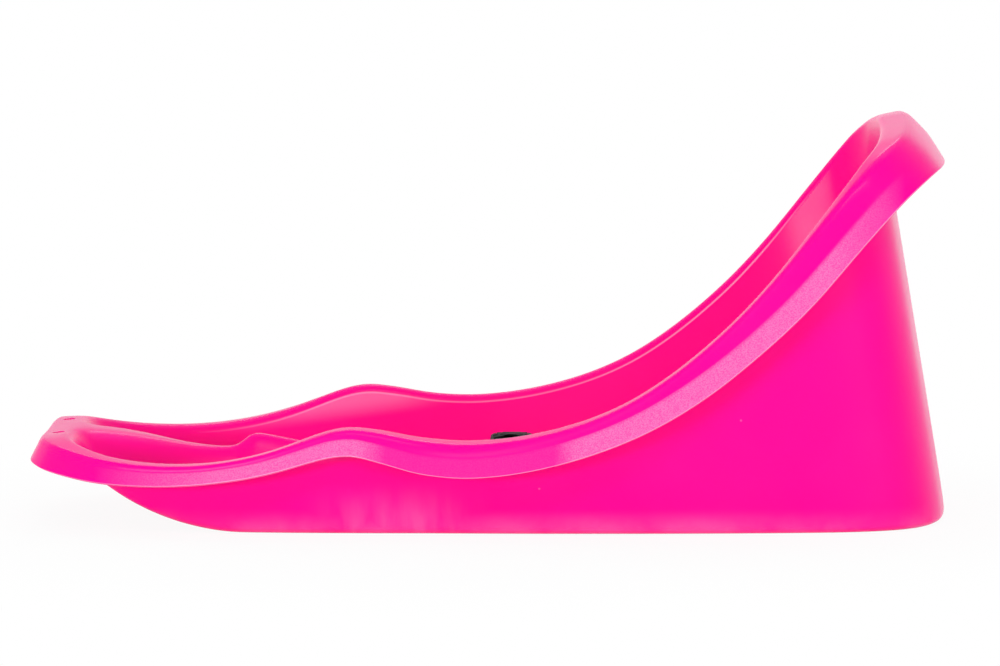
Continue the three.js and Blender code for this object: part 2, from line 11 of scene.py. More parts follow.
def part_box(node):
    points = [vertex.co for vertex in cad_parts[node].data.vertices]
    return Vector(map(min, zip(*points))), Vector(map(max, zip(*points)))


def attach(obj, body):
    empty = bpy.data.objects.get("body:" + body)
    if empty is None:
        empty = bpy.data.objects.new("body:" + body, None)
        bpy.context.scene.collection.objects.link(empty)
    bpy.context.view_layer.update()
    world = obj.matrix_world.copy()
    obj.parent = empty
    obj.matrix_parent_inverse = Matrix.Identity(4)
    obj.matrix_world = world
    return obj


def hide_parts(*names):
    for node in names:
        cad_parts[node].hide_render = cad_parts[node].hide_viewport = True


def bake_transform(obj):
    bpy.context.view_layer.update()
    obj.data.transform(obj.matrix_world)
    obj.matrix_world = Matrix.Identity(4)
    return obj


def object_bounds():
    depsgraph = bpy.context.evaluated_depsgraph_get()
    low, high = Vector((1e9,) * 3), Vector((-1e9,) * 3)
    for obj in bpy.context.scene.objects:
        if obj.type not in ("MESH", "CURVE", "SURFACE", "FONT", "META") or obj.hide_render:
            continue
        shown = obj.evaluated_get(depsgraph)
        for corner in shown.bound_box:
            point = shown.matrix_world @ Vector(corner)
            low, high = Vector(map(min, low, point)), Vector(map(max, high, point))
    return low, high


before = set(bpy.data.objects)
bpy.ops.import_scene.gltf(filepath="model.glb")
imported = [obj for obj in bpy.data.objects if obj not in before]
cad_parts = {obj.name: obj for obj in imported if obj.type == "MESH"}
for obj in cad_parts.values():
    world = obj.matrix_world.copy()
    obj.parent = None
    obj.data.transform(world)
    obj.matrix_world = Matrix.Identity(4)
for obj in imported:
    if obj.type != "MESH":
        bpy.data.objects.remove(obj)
cad_low, cad_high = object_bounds()


# The camera: a long lens 5.3 m away and a little higher than the sled, aimed at its left
# side. It looks slightly down and towards the nose, and leans by half a degree.
VIEW_TURN = math.radians(-1.5)
VIEW_DROP = math.radians(5.6)
VIEW_ROLL = math.radians(-0.5)
VIEW_DISTANCE = 5.28
AIM = Vector((0.0085, 0.0, 0.1455))
FOCAL_PIXELS = 6520
PICTURE_WIDTH = 1000
SENSOR_WIDTH = 36

ahead = Vector((
    math.sin(VIEW_TURN) * math.cos(VIEW_DROP),
    math.cos(VIEW_TURN) * math.cos(VIEW_DROP),
    -math.sin(VIEW_DROP)))
level_right = Vector((math.cos(VIEW_TURN), -math.sin(VIEW_TURN), 0))
level_up = level_right.cross(ahead)
picture_right = level_right * math.cos(VIEW_ROLL) + level_up * math.sin(VIEW_ROLL)
picture_up = level_up * math.cos(VIEW_ROLL) - level_right * math.sin(VIEW_ROLL)

bpy.ops.object.select_all(action="DESELECT")
bpy.ops.object.camera_add(location=AIM - ahead * VIEW_DISTANCE)
camera = bpy.context.object
camera.name = "studio_camera"
camera.rotation_euler = Matrix((picture_right, picture_up, -ahead)).transposed().to_euler()
camera.data.sensor_width = SENSOR_WIDTH
camera.data.lens = FOCAL_PIXELS / PICTURE_WIDTH * SENSOR_WIDTH
camera.data.clip_end = 100
bpy.context.scene.camera = camera
bpy.context.scene.view_settings.view_transform = "Standard"


# The studio: a matt white floor that runs out of sight and a white surround. Both show as
# plain white to the camera, and round the sled the floor keeps a little of its shadow.
FLOOR_SIZE = 60
FLOOR_BELOW_SLED = 0.0002
FLOOR_WHITE = "#f4f4f4"
SHADOW_KEPT = 0.07
SHADOW_NEAR = 0.25
SHADOW_FAR = 0.65
SURROUND_LIGHT = 0.5
WHITE = (1, 1, 1, 1)


def linear(colour):
    """Turns an sRGB hex colour into the linear colour that a shader wants."""
    steps = [int(colour[k:k + 2], 16) / 255 for k in (1, 3, 5)]
    return [s / 12.92 if s <= 0.04045 else ((s + 0.055) / 1.055) ** 2.4 for s in steps] + [1.0]


def add_node(tree, kind, settings=(), **inputs):
    """Adds a node. A value sets the input of that name, and another node's output is linked.
    An underscore in a name stands for a space, and _0 is the first input."""
    node = tree.nodes.new(kind)
    for name, value in dict(settings).items():
        setattr(node, name, value)
    for name, value in inputs.items():
        socket = node.inputs[int(name[1:]) if name[1:].isdigit() else name.replace("_", " ")]
        if isinstance(value, bpy.types.NodeSocket):
            tree.links.new(value, socket)
        else:
            socket.default_value = value
    return node


def studio_shows(tree):
    """1 for the rays in which the studio itself shows: straight, mirrored or through glass."""
    rays = add_node(tree, "ShaderNodeLightPath").outputs
    shows = rays["Is Camera Ray"]
    for other in ("Is Glossy Ray", "Is Transmission Ray"):
        shows = add_node(tree, "ShaderNodeMath", {"operation": "MAXIMUM"},
                         _0=shows, _1=rays[other]).outputs[0]
    return shows


bpy.ops.object.select_all(action="DESELECT")
bpy.ops.mesh.primitive_plane_add(
    size=FLOOR_SIZE, location=(0, 0, cad_low.z - FLOOR_BELOW_SLED))
floor = bpy.context.object
floor.name = "studio_floor"
bpy.ops.object.transform_apply(location=True)

matt_floor = bpy.data.materials.new("matt_white_floor_paint")
matt_floor.use_nodes = True
tree = matt_floor.node_tree
tree.nodes.clear()
floor_place = add_node(tree, "ShaderNodeTexCoord").outputs["Object"]
away = add_node(tree, "ShaderNodeVectorMath", {"operation": "LENGTH"}, _0=floor_place)
kept = add_node(tree, "ShaderNodeMapRange", {"interpolation_type": "SMOOTHSTEP"},
                Value=away.outputs["Value"], From_Min=SHADOW_NEAR, From_Max=SHADOW_FAR,
                To_Min=1 - SHADOW_KEPT, To_Max=1.0)
share = add_node(tree, "ShaderNodeMath", {"operation": "MULTIPLY"},
                 _0=studio_shows(tree), _1=kept.outputs[0])
paint = add_node(tree, "ShaderNodeBsdfDiffuse", Color=linear(FLOOR_WHITE))
glow = add_node(tree, "ShaderNodeEmission", Color=WHITE, Strength=1.0)
blend = add_node(tree, "ShaderNodeMixShader",
                 _0=share.outputs[0], _1=paint.outputs[0], _2=glow.outputs[0])
add_node(tree, "ShaderNodeOutputMaterial", Surface=blend.outputs[0])
floor.data.materials.append(matt_floor)

surround = bpy.data.worlds.new("white_surround")
bpy.context.scene.world = surround
surround.use_nodes = True
tree = surround.node_tree
tree.nodes.clear()
lit = add_node(tree, "ShaderNodeBackground", Color=WHITE, Strength=SURROUND_LIGHT)
white = add_node(tree, "ShaderNodeBackground", Color=WHITE, Strength=1.0)
blend = add_node(tree, "ShaderNodeMixShader",
                 _0=studio_shows(tree), _1=lit.outputs[0], _2=white.outputs[0])
add_node(tree, "ShaderNodeOutputWorld", Surface=blend.outputs[0])


# The lamps: two low softboxes left and right of the camera light the side, and their mirror
# images draw the soft streaks at its curved ends. The left one's shows in the far wall too.
# One high over the camera, a weak one overhead and one behind the sled fill in the rest.
SOFTBOXES = {
    "overhead_softbox": {"place": (-0.1, 0.4, 2.4), "size": (1.9, 1.1), "watts": 8},
    "camera_softbox": {"place": (0.25, -2.9, 2.5), "size": (1.8, 0.5), "watts": 22},
    "left_softbox": {"place": (-1.9, -3.0, 0.5), "size": (1.4, 0.48), "watts": 50},
    "right_softbox": {"place": (2.3, -2.7, 0.3), "size": (1.1, 0.5), "watts": 36},
    "back_softbox": {"place": (0.0, 2.6, 2.6), "size": (1.6, 1.0), "watts": 18},
}

for name, lamp in SOFTBOXES.items():
    bpy.ops.object.select_all(action="DESELECT")
    bpy.ops.object.light_add(type="AREA", location=lamp["place"])
    softbox = bpy.context.object
    softbox.name = name
    softbox.data.shape = "RECTANGLE"
    softbox.data.size, softbox.data.size_y = lamp["size"]
    softbox.data.energy = lamp["watts"]
    to_sled = AIM - Vector(lamp["place"])
    softbox.rotation_euler = to_sled.to_track_quat("-Z", "Y").to_euler()


# The tub: one skin of polyethylene about 3 mm thick, moulded in one piece and trimmed along
# the hem of its skirt. The facets of the CAD shell are smoothed into the soft moulded form.
SAME_POINT = 1e-6
QUAD_FACE_ANGLE = math.radians(75)
QUAD_SHAPE_ANGLE = math.radians(120)
TRIM_ANGLES = (math.radians(62), math.radians(120))
TRIM_EDGE_CREASE = 0.75
FACET_CREASE = 0.5
RIM_EDGE_CREASE = 0.6
SMOOTHING_LEVELS = 2
BELT_SLOT = (0.0167, 0.076)
ROPE_HOLE = (-0.3462, 0.0475)
HOLE_REACH = 0.0155
HEM_GRAIN = 1.0
BEND_GRAIN = 0.5
RINGS_TO_RIM = 4
RINGS_TO_LIP = 8
LIP_REACH = (-0.26, 0.29)
LIP_LEDGE = 0.0011
LIP_STEP = 0.0004
# Strength of the painted highlight along the lip, at points along x
LIP_PAINTED_HIGHLIGHT = ((-0.25, -0.15, 0.05, 0.16, 0.22, 0.27), (0.0, 0.5, 0.5, 0.85, 1.0, 0.0))
WALL_FACE = 0.0003
HEM_BREAK = 0.0006
# Strength of the painted highlight along the hem, at points along x
HEM_PAINTED_HIGHLIGHT = ((-0.33, -0.2, 0.35), (0.6, 1.0, 0.9))

tub = bpy.data.objects.new("moulded_tub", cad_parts["tub_shell"].data.copy())
bpy.context.collection.objects.link(tub)
bpy.ops.object.select_all(action="DESELECT")
tub.select_set(True)
bpy.context.view_layer.objects.active = tub
bpy.ops.object.mode_set(mode="EDIT")
bpy.ops.mesh.select_all(action="SELECT")
bpy.ops.mesh.remove_doubles(threshold=SAME_POINT)
bpy.ops.mesh.tris_convert_to_quads(
    face_threshold=QUAD_FACE_ANGLE, shape_threshold=QUAD_SHAPE_ANGLE)
bpy.ops.object.mode_set(mode="OBJECT")

# The flat ground round the slots and holes keeps its shape
form = bmesh.new()
form.from_mesh(tub.data)
form.normal_update()
crease = form.edges.layers.float.new("crease_edge")
grained = form.verts.layers.float.new("skirt_grain")
# Per vertex, the painted highlight along the lip and the hem
highlight_layer = form.verts.layers.float.new("painted_highlight_line")
rolled = form.verts.layers.float.new("rim_roll")
pierced = {
    vertex for vertex in form.verts for x, y in (BELT_SLOT, ROPE_HOLE)
    if math.hypot(vertex.co.x - x, abs(vertex.co.y) - y) < HOLE_REACH}
for vertex in pierced:
    for edge in vertex.link_edges:
        edge[crease] = 1.0

# The trimmed hem runs right round the skirt: from its widest point it is followed both ways
sharp = {
    edge for edge in form.edges
    if len(edge.link_faces) == 2 and TRIM_ANGLES[0] < edge.calc_face_angle() < TRIM_ANGLES[1]
    and not pierced.intersection(edge.verts)}
outer_hem = [max(sharp, key=lambda edge: abs(edge.verts[0].co.y))]
for edge in outer_hem:
    for vertex in edge.verts:
        outer_hem += [
            link for link in vertex.link_edges if link in sharp and link not in outer_hem]


def opposite(edge, face):
    """The edge across a four-sided face."""
    corner = next(loop for loop in face.loops if loop.edge == edge)
    return corner.link_loop_next.link_loop_next.edge


# On one side of that edge is the trimmed face, and on the other ring after ring of faces
# leads up the skirt and over the rim. The first ring ends at the bend along the skirt, the
# fourth at the rim's crisp outer edge, and the last at the lip. The grain is marked full at
# the hem and a half at the bend, and what lies between bend and lip is the rim's roll.
ring = []
for edge in outer_hem:
    edge[crease] = TRIM_EDGE_CREASE
    for face in edge.link_faces:
        across = opposite(edge, face)
        trimmed = across in sharp
        across[crease] = TRIM_EDGE_CREASE if trimmed else FACET_CREASE
        for vertex in across.verts:
            vertex[grained] = HEM_GRAIN if trimmed else BEND_GRAIN
        if not trimmed:
            ring.append((across, face))
    for vertex in edge.verts:
        vertex[grained] = HEM_GRAIN
for k in range(2, RINGS_TO_LIP + 1):
    ring = [(opposite(edge, face), face) for edge, passed in ring
            for face in edge.link_faces if face != passed and len(face.verts) == 4]
    for vertex in {vertex for edge, face in ring for vertex in edge.verts}:
        vertex[rolled] = float(k < RINGS_TO_LIP)
    if k == RINGS_TO_RIM:
        for edge, face in ring:
            edge[crease] = RIM_EDGE_CREASE
lip = {edge for edge, face in ring
       if all(LIP_REACH[0] < vertex.co.x < LIP_REACH[1] for vertex in edge.verts)}
ends = {vertex for edge in lip for vertex in edge.verts
        if len(lip.intersection(vertex.link_edges)) == 1}
lip |= {edge for vertex in ends for edge in vertex.link_edges if edge.other_vert(vertex) in ends}

# The lip is a narrow ledge, whose edge on the wall's side stands out a little, and the
# trimmed hem's outer edge is broken. Both get a painted highlight along their middle line.
for edges, width, highlight_stops in ((list(lip), LIP_LEDGE, LIP_PAINTED_HIGHLIGHT), (outer_hem, HEM_BREAK, HEM_PAINTED_HIGHLIGHT)):
    strip = set(bmesh.ops.bevel(
        form, geom=edges, offset=width, segments=2, profile=0.5, affect="EDGES")["faces"])
    for edge in {edge for face in strip for edge in face.edges}:
        if not strip.issuperset(edge.link_faces):
            edge[crease] = 1.0
    for vertex in {vertex for face in strip for vertex in face.verts}:
        if strip.issuperset(vertex.link_faces):
            vertex[highlight_layer] = np.interp(vertex.co.x, *highlight_stops)
        elif width == LIP_LEDGE:
            wall = max(set(vertex.link_faces) - strip, key=lambda face: face.calc_area())
            if wall.calc_area() > WALL_FACE:
                vertex.co += wall.normal * LIP_STEP
form.to_mesh(tub.data)
form.free()

smoothing = tub.modifiers.new("moulded_form", "SUBSURF")
smoothing.levels = smoothing.render_levels = SMOOTHING_LEVELS
bpy.ops.object.modifier_apply(modifier=smoothing.name)
bpy.ops.object.shade_smooth()

# The broad walls set the shading, and not the narrow ledge, so that the lamps' mirror images
# sit in them as they do in the real ones
true_shading = tub.modifiers.new("broad_faces_shade_true", "WEIGHTED_NORMAL")
true_shading.mode = "FACE_AREA"
true_shading.weight = 50
bpy.ops.object.modifier_apply(modifier=true_shading.name)

# Polyethylene pigmented all through: a deep fluorescent pink with a waxy, half-gloss skin,
# grained along the skirt and rubbed a little cloudy in use. A paler pink paints a highlight on
# the grained band and reflections low on the hull and in the foot wells, and marks the nicks.
# The real grain is finer than the 1 mm that is drawn here so that it shows.
PINK = "#ff0090"
PINK_RUBBED = "#ff1896"
PINK_PALE_SHEEN_AND_NICKS = "#ff72b2"
# The colour of the painted highlight on the lip and the hem
PINK_PAINTED_HIGHLIGHT = "#ffbcdc"
HAZE_SIZE = 0.12
HAZE_SHARE = 0.22
GRAIN_SIZE = 0.001
GRAIN_FADE = (0.44, 0.58)
# Along x, how strongly the grained band is painted pale as a highlight
GRAIN_HIGHLIGHT_REACH = ((-0.31, 0.0), (-0.21, 1.0), (-0.10, 1.0), (-0.078, 0.15),
               (0.056, 0.15), (0.072, 1.0), (0.27, 1.0), (0.33, 0.0))
GRAIN_HIGHLIGHT_PALENESS = (0.4, 1.0)
# Where the white floor's reflection is painted pale, low on the hull
FLOOR_REFLECTION_LOW = {"height": 0.022, "size": 0.07, "share": (0.1, 0.5)}
FLOOR_REFLECTION_PATCH = {"middle": -0.07, "full": 0.024, "half": 0.08, "height": 0.045,
         "wisp": (0.022, 0.088), "share": (0.1, 1.0), "palest": 0.45}
OUTSIDE_LOOKS_UP = 0.25
NICK_SPACING = 0.034
NICK_RADIUS = 0.0009
NICK_SHARE = 0.5
# Where a patchy reflection is painted pale, high on the foot wells' walls
WALL_REFLECTION = {"middle": -0.13, "full": 0.044, "half": 0.11, "low": 0.056, "high": 0.074,
            "rise": 0.12, "inner": (0.127, 0.137), "wall": (0.157, 0.16),
            "off_roll": (0.05, 0.4), "patchy": (0.5, 1.0), "share": 0.85}
PAINTED_HIGHLIGHT_SHARE = 0.75
SATIN = (0.19, 0.27)
GRAIN_ROUGHER = 0.2
GRAIN_DEPTH = 0.5
SKIN_DEPTH = 0.06
PIT_DEPTH = 0.0003

pink_polyethylene = bpy.data.materials.new("moulded_pink_polyethylene")
pink_polyethylene.use_nodes = True
tree = pink_polyethylene.node_tree
tree.nodes.clear()
coordinates = add_node(tree, "ShaderNodeTexCoord").outputs
place = coordinates["Object"]
axes = add_node(tree, "ShaderNodeSeparateXYZ", Vector=place).outputs
looks = add_node(tree, "ShaderNodeSeparateXYZ", Vector=coordinates["Normal"]).outputs

# The whole skin is a little cloudy
haze = add_node(tree, "ShaderNodeTexNoise", Vector=place, Scale=1 / HAZE_SIZE, Detail=3.0)
rub = add_node(tree, "ShaderNodeMapRange", Value=haze.outputs["Fac"],
               From_Min=0.5, From_Max=0.75, To_Min=0.0, To_Max=HAZE_SHARE)
tint = add_node(tree, "ShaderNodeMix", {"data_type": "RGBA"},
                _0=rub.outputs[0], _6=linear(PINK), _7=linear(PINK_RUBBED))

# The grain covers the skirt below its bend, and is painted pale there as a highlight. Grain
# and painted highlight are faint beside the seat, and run out at the nose and at the back.
mark = add_node(tree, "ShaderNodeAttribute", {"attribute_name": "skirt_grain"}).outputs["Fac"]
below_bend = add_node(tree, "ShaderNodeMapRange", {"interpolation_type": "SMOOTHSTEP"},
                      Value=mark, From_Min=GRAIN_FADE[0], From_Max=GRAIN_FADE[1],
                      To_Min=0.0, To_Max=1.0)
front, back = GRAIN_HIGHLIGHT_REACH[0][0], GRAIN_HIGHLIGHT_REACH[-1][0]
along = add_node(tree, "ShaderNodeMapRange", Value=axes["X"], From_Min=front, From_Max=back)
highlight_reach = add_node(tree, "ShaderNodeValToRGB", Fac=along.outputs[0])
while len(highlight_reach.color_ramp.elements) < len(GRAIN_HIGHLIGHT_REACH):
    highlight_reach.color_ramp.elements.new(0.5)
for stop, (x, full) in zip(highlight_reach.color_ramp.elements, GRAIN_HIGHLIGHT_REACH):
    stop.position = (x - front) / (back - front)
    stop.color = (full, full, full, 1)
grain_and_highlight = add_node(tree, "ShaderNodeMath", {"operation": "MULTIPLY"},
                _0=below_bend.outputs[0], _1=highlight_reach.outputs[0]).outputs[0]
pits = add_node(tree, "ShaderNodeTexNoise", Vector=place, Scale=1 / GRAIN_SIZE, Detail=2.0)
stipple = add_node(tree, "ShaderNodeMapRange", Value=pits.outputs["Fac"], From_Min=0.36,
                   From_Max=0.64, To_Min=GRAIN_HIGHLIGHT_PALENESS[0], To_Max=GRAIN_HIGHLIGHT_PALENESS[1])
pale_grain_highlight = add_node(tree, "ShaderNodeMath", {"operation": "MULTIPLY"},
                _0=grain_and_highlight, _1=stipple.outputs[0])
tint = add_node(tree, "ShaderNodeMix", {"data_type": "RGBA"},
                _0=pale_grain_highlight.outputs[0], _6=tint.outputs[2], _7=linear(PINK_PALE_SHEEN_AND_NICKS))

# Low on the hull, pale cloudy patches are a painted reflection of the white floor
low_down = add_node(tree, "ShaderNodeMapRange", {"interpolation_type": "SMOOTHSTEP"},
                    Value=axes["Z"], From_Min=0.001, From_Max=FLOOR_REFLECTION_LOW["height"],
                    To_Min=1.0, To_Max=0.0)
clouds = add_node(tree, "ShaderNodeTexNoise",
                  Vector=place, Scale=1 / FLOOR_REFLECTION_LOW["size"], Detail=5.0)
cloudy = add_node(tree, "ShaderNodeMapRange", Value=clouds.outputs["Fac"], From_Min=0.4,
                  From_Max=0.62, To_Min=FLOOR_REFLECTION_LOW["share"][0], To_Max=FLOOR_REFLECTION_LOW["share"][1])
floor_reflection = add_node(tree, "ShaderNodeMath", {"operation": "MULTIPLY"},
                  _0=low_down.outputs[0], _1=cloudy.outputs[0])

# Under the seat, one long patch of that painted reflection reaches higher, in upright wisps
wisp_place = add_node(tree, "ShaderNodeVectorMath", {"operation": "MULTIPLY"},
                      _0=place, _1=(1 / FLOOR_REFLECTION_PATCH["wisp"][0], 0, 1 / FLOOR_REFLECTION_PATCH["wisp"][1]))
wisps = add_node(tree, "ShaderNodeTexNoise", Vector=wisp_place.outputs[0], Scale=1.0, Detail=5.0)
wisps = add_node(tree, "ShaderNodeMapRange", Value=wisps.outputs["Fac"], From_Min=0.36,
                 From_Max=0.64, To_Min=FLOOR_REFLECTION_PATCH["share"][0], To_Max=FLOOR_REFLECTION_PATCH["share"][1])
height = add_node(tree, "ShaderNodeMapRange", {"interpolation_type": "SMOOTHSTEP"},
                  Value=axes["Z"], From_Min=0.0, From_Max=FLOOR_REFLECTION_PATCH["height"],
                  To_Min=FLOOR_REFLECTION_PATCH["palest"], To_Max=0.0)
wispy = add_node(tree, "ShaderNodeMath", {"operation": "MULTIPLY"},
                 _0=wisps.outputs[0], _1=height.outputs[0])
aside = add_node(tree, "ShaderNodeMath", {"operation": "SUBTRACT"},
                 _0=axes["X"], _1=FLOOR_REFLECTION_PATCH["middle"])
aside = add_node(tree, "ShaderNodeMath", {"operation": "ABSOLUTE"}, _0=aside.outputs[0])
within = add_node(tree, "ShaderNodeMapRange", {"interpolation_type": "SMOOTHSTEP"},
                  Value=aside.outputs[0], From_Min=FLOOR_REFLECTION_PATCH["full"], From_Max=FLOOR_REFLECTION_PATCH["half"],
                  To_Min=1.0, To_Max=0.0)
reflection_patch = add_node(tree, "ShaderNodeMath", {"operation": "MULTIPLY"},
                   _0=wispy.outputs[0], _1=within.outputs[0])
floor_reflection = add_node(tree, "ShaderNodeMath", {"operation": "MAXIMUM"},
                  _0=floor_reflection.outputs[0], _1=reflection_patch.outputs[0])

# Here and there is a nick. The nicks and the painted reflection lie on the outside, which doesn't
# look upwards.
cells = add_node(tree, "ShaderNodeTexVoronoi", Vector=place, Scale=1 / NICK_SPACING)
nick = add_node(tree, "ShaderNodeMath", {"operation": "LESS_THAN"},
                _0=cells.outputs["Distance"], _1=NICK_RADIUS / NICK_SPACING)
nicked = add_node(tree, "ShaderNodeMath", {"operation": "MULTIPLY"},
                  _0=nick.outputs[0], _1=NICK_SHARE)
mark_share = add_node(tree, "ShaderNodeMath", {"operation": "MAXIMUM"},
                _0=floor_reflection.outputs[0], _1=nicked.outputs[0])
outside = add_node(tree, "ShaderNodeMapRange", Value=looks["Z"],
                   From_Min=0.0, From_Max=OUTSIDE_LOOKS_UP, To_Min=1.0, To_Max=0.0)
mark_share = add_node(tree, "ShaderNodeMath", {"operation": "MULTIPLY"},
                _0=mark_share.outputs[0], _1=outside.outputs[0])
tint = add_node(tree, "ShaderNodeMix", {"data_type": "RGBA"},
                _0=mark_share.outputs[0], _6=tint.outputs[2], _7=linear(PINK_PALE_SHEEN_AND_NICKS))

# A pale, patchy painted reflection lies high on the walls of the foot wells. Its lower edge
# rises a little towards the back, and it stops at the rim's roll.
sideways = add_node(tree, "ShaderNodeMath", {"operation": "ABSOLUTE"}, _0=axes["Y"])
roll = add_node(tree, "ShaderNodeAttribute", {"attribute_name": "rim_roll"}).outputs["Fac"]
reflection_x = add_node(tree, "ShaderNodeMath", {"operation": "SUBTRACT"},
                  _0=axes["X"], _1=WALL_REFLECTION["middle"])
reflection_z = add_node(tree, "ShaderNodeMath", {"operation": "MULTIPLY_ADD"},
                  _0=reflection_x.outputs[0], _1=-WALL_REFLECTION["rise"], _2=axes["Z"])
reflection_x = add_node(tree, "ShaderNodeMath", {"operation": "ABSOLUTE"}, _0=reflection_x.outputs[0])
wall_reflection = WALL_REFLECTION["share"]
for source, (near, far), (start, end) in (
        (reflection_x.outputs[0], (WALL_REFLECTION["full"], WALL_REFLECTION["half"]), (1.0, 0.0)),
        (reflection_z.outputs[0], (WALL_REFLECTION["low"], WALL_REFLECTION["high"]), (0.0, 1.0)),
        (sideways.outputs[0], WALL_REFLECTION["wall"], (1.0, 0.0)),
        (sideways.outputs[0], WALL_REFLECTION["inner"], (0.0, 1.0)),
        (roll, WALL_REFLECTION["off_roll"], (1.0, 0.0)),
        (haze.outputs["Fac"], (0.3, 0.55), WALL_REFLECTION["patchy"])):
    mask = add_node(tree, "ShaderNodeMapRange", {"interpolation_type": "SMOOTHSTEP"},
                    Value=source, From_Min=near, From_Max=far, To_Min=start, To_Max=end)
    wall_reflection = add_node(tree, "ShaderNodeMath", {"operation": "MULTIPLY"},
                     _0=mask.outputs[0], _1=wall_reflection).outputs[0]
tint = add_node(tree, "ShaderNodeMix", {"data_type": "RGBA"},
                _0=wall_reflection, _6=tint.outputs[2], _7=linear(PINK_PALE_SHEEN_AND_NICKS))

# A painted highlight runs along the middle line of the lip and the broken hem
line = add_node(tree, "ShaderNodeAttribute", {"attribute_name": "painted_highlight_line"}).outputs["Fac"]
painted_gleam = add_node(tree, "ShaderNodeMath", {"operation": "MULTIPLY"}, _0=line, _1=PAINTED_HIGHLIGHT_SHARE)
tint = add_node(tree, "ShaderNodeMix", {"data_type": "RGBA"},
                _0=painted_gleam.outputs[0], _6=tint.outputs[2], _7=linear(PINK_PAINTED_HIGHLIGHT))

# The skin is satin, and the grained band is rougher and pitted
satin = add_node(tree, "ShaderNodeMapRange", Value=haze.outputs["Fac"],
                 From_Min=0.3, From_Max=0.7, To_Min=SATIN[0], To_Max=SATIN[1])
rough = add_node(tree, "ShaderNodeMath", {"operation": "MULTIPLY_ADD"},
                 _0=grain_and_highlight, _1=GRAIN_ROUGHER, _2=satin.outputs[0])
depth = add_node(tree, "ShaderNodeMath", {"operation": "MULTIPLY_ADD"},
                 _0=grain_and_highlight, _1=GRAIN_DEPTH, _2=SKIN_DEPTH)
bump = add_node(tree, "ShaderNodeBump", Strength=depth.outputs[0], Distance=PIT_DEPTH,
                Height=pits.outputs["Fac"])
skin = add_node(tree, "ShaderNodeBsdfPrincipled", Base_Color=tint.outputs[2],
                Roughness=rough.outputs[0], IOR=1.54, Normal=bump.outputs[0],
                Specular_IOR_Level=0.07, Subsurface_Weight=0.12,
                Subsurface_Radius=(1.0, 0.2, 0.5), Subsurface_Scale=0.003)
add_node(tree, "ShaderNodeOutputMaterial", Surface=skin.outputs[0])
tub.data.materials.clear()
tub.data.materials.append(pink_polyethylene)

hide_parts("tub_shell")
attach(tub, "sled")


# The lap belt: one length of 25 mm polypropylene webbing, woven flat and 1.6 mm thick. One
# end is folded round the socket's bar and sewn. From there it runs down through one slot of
# the seat, under it and up through the other, and its free end is threaded through the plug.
WEBBING_WIDTH = 0.025
WEBBING_THICKNESS = 0.0016
WEBBING_EDGE = 0.0004
LAYER_GAP = 0.0001
STEP_ALONG = 0.0012
STEPS_ACROSS = 10
EDGE_DROP = 0.0001

fixed_low, fixed_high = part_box("belt_webbing")
socket_low, socket_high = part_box("buckle_socket")
plug_low, plug_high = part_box("buckle_plug")
belt_x = (fixed_low.x + fixed_high.x) / 2
slot_y = BELT_SLOT[1]
seat_z = 0.024
under_z = fixed_low.z + WEBBING_THICKNESS / 2
arch_z = (socket_low.z + socket_high.z) / 2

# Places along the belt's line, y and z in metres. Both halves of the buckle hold the webbing
# on bars 4 mm thick, at the height of the arch.
BAR_HALF = 0.002
over_bar = arch_z + BAR_HALF + WEBBING_THICKNESS / 2 + LAYER_GAP
below_bar = arch_z - BAR_HALF - WEBBING_THICKNESS / 2 - LAYER_GAP
SOCKET_SLOT_Y = 0.0294
fixed_route = [
    (0.0535, 0.0506), (0.048, 0.0533), (0.0435, 0.0549), (0.0395, 0.0552),
    (0.0355, below_bar), (0.0315, below_bar), (0.0298, below_bar + 0.0009),
    (SOCKET_SLOT_Y, arch_z), (0.0298, over_bar - 0.0009), (0.0315, over_bar),
    (0.035, over_bar), (0.040, 0.0583), (0.0465, 0.0558), (0.0535, 0.0524),
    (0.061, 0.0478), (0.0695, 0.0385), (slot_y - 0.001, 0.029), (slot_y, seat_z), (slot_y, 0.0205),
    (slot_y - 0.0012, 0.0190), (slot_y - 0.004, under_z), (0, under_z),
    (0.004 - slot_y, under_z), (0.0012 - slot_y, 0.0190), (-slot_y, 0.0205), (-slot_y, 0.0225),
    (-slot_y, seat_z),
]
under_plug = below_bar - WEBBING_THICKNESS - LAYER_GAP
free_route = [
    (-slot_y, 0.0243), (0.001 - slot_y, 0.029), (-0.0695, 0.0385), (-0.061, 0.0470),
    (-0.052, 0.0512), (-0.043, 0.0530), (-0.033, 0.0533), (-0.025, under_plug + 0.0002),
    (-0.019, under_plug), (-0.0095, under_plug + 0.0001), (-0.0065, 0.0540), (-0.0056, arch_z),
    (-0.0066, 0.0594), (-0.0090, over_bar), (-0.0122, over_bar), (-0.0144, 0.0588),
    (-0.0150, arch_z), (-0.0160, 0.0549), (-0.0185, below_bar), (-0.0225, below_bar),
    (-0.027, 0.0545), (-0.033, 0.0551), (-0.043, 0.0548), (-0.052, 0.0530), (-0.0600, 0.0495),
]


